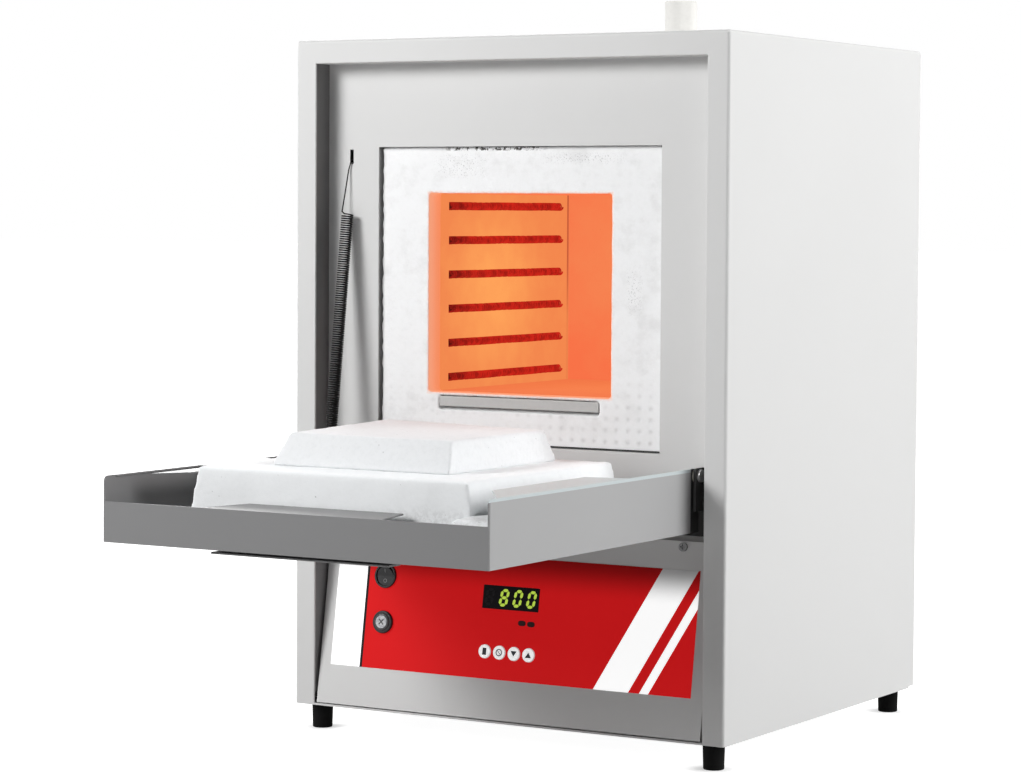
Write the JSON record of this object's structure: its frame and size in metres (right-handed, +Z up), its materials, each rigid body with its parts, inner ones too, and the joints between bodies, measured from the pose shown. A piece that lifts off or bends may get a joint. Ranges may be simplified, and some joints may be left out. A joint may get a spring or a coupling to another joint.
{
  "type": "box furnace",
  "caption": "Bench-top box furnace with an insulated, electrically heated chamber, a sprung drop-down door, a sloped control fascia and a vertical flue tube.",
  "frame": {"origin": "middle of the footprint with the door open, at bench level", "axes": "+X to the right seen from the front, +Y from the open door's far edge towards the rear, +Z up"},
  "size_m": [0.407, 0.672, 0.6264],
  "materials": {
    "case_paint": "satin",
    "inner_sheet": "satin",
    "bright_sheet": "satin",
    "insulation": "matte",
    "hearth": "matte",
    "element_wire": "matte",
    "fired_ceramic": "matte",
    "sensor_steel": "satin",
    "rubber": "matte",
    "zinc_steel": "satin",
    "door_paint": "satin",
    "bush_plastic": "satin",
    "fascia_paint": "satin",
    "label_film": "satin",
    "display_window": "gloss",
    "black_plastic": "satin",
    "green_led": "gloss",
    "board": "satin",
    "lamp_lens": "gloss",
    "pin_brass": "satin",
    "heatsink": "satin",
    "grey_plastic": "satin",
    "magnet": "satin",
    "button_white": "satin",
    "spring_steel": "satin"
  },
  "bodies": {
    "case": {"outer_case": "case_paint", "base_tray": "case_paint", "rear_cover": "case_paint", "rear_screws": "zinc_steel", "front_panel": "case_paint", "chamber_deck": "inner_sheet", "chamber_casing": "inner_sheet", "insulation_front": "insulation", "insulation_left": "insulation", "insulation_right": "insulation", "insulation_top": "insulation", "insulation_bottom": "insulation", "insulation_rear": "insulation", "hearth_plate": "hearth", "sill_bar": "hearth", "heating_element_left": "element_wire", "heating_element_right": "element_wire", "element_bushings": "fired_ceramic", "chimney_tube": "fired_ceramic", "chimney_collar": "bright_sheet", "thermocouple_probe": "sensor_steel", "rubber_feet": "rubber", "foot_fasteners": "zinc_steel", "hinge_brackets": "bright_sheet", "bracket_screws": "zinc_steel", "hinge_pins": "zinc_steel", "door_stop_studs": "zinc_steel", "door_spring": "spring_steel", "fascia_panel": "fascia_paint", "fascia_label": "label_film", "fascia_screws": "zinc_steel", "display_window": "display_window", "display_module": "black_plastic", "output_lamps": "green_led", "controller_board": "board", "rocker_bezel": "black_plastic", "lamp_bezel": "black_plastic", "lamp_lens": "lamp_lens", "mains_inlet": "black_plastic", "inlet_pins": "pin_brass", "relay_heatsink": "heatsink", "solid_state_relay": "black_plastic", "safety_contactor": "grey_plastic", "terminal_block": "grey_plastic", "wiring_looms": "black_plastic", "door_sensor": "black_plastic"},
    "door": {"door_tray": "door_paint", "door_insulation_slab": "insulation", "door_plug": "insulation", "door_handle": "door_paint", "hinge_bushes": "bush_plastic", "spring_anchor": "zinc_steel", "door_magnet": "magnet"},
    "power_rocker": {"rocker_paddle": "black_plastic"},
    "button_page_key": {"button_page": "button_white"},
    "button_timer_key": {"button_timer": "button_white"},
    "button_down_key": {"button_down": "button_white"},
    "button_up_key": {"button_up": "button_white"}
  },
  "joints": [
    {"name": "door_hinge", "type": "hinge", "parent": "case", "child": "door", "pos_m": [0, -0.022, 0.232], "axis": [-1, 0, 0], "range_deg": [0, 90], "deforming": ["door_spring"]},
    {"name": "power_switch", "type": "hinge", "parent": "case", "child": "power_rocker", "pos_m": [-0.1234, -0.01516, 0.13262], "axis": [-1, 0, 0], "range_deg": [0, 18]},
    {"name": "button_page_press", "type": "slide", "parent": "case", "child": "button_page_key", "axis": [0, 0.988, -0.1542], "range_m": [0, 0.0008], "stiffness_N_per_m": 600, "springref_m": -0.0005},
    {"name": "button_timer_press", "type": "slide", "parent": "case", "child": "button_timer_key", "axis": [0, 0.988, -0.1542], "range_m": [0, 0.0008], "stiffness_N_per_m": 600, "springref_m": -0.0005},
    {"name": "button_down_press", "type": "slide", "parent": "case", "child": "button_down_key", "axis": [0, 0.988, -0.1542], "range_m": [0, 0.0008], "stiffness_N_per_m": 600, "springref_m": -0.0005},
    {"name": "button_up_press", "type": "slide", "parent": "case", "child": "button_up_key", "axis": [0, 0.988, -0.1542], "range_m": [0, 0.0008], "stiffness_N_per_m": 600, "springref_m": -0.0005}
  ]
}
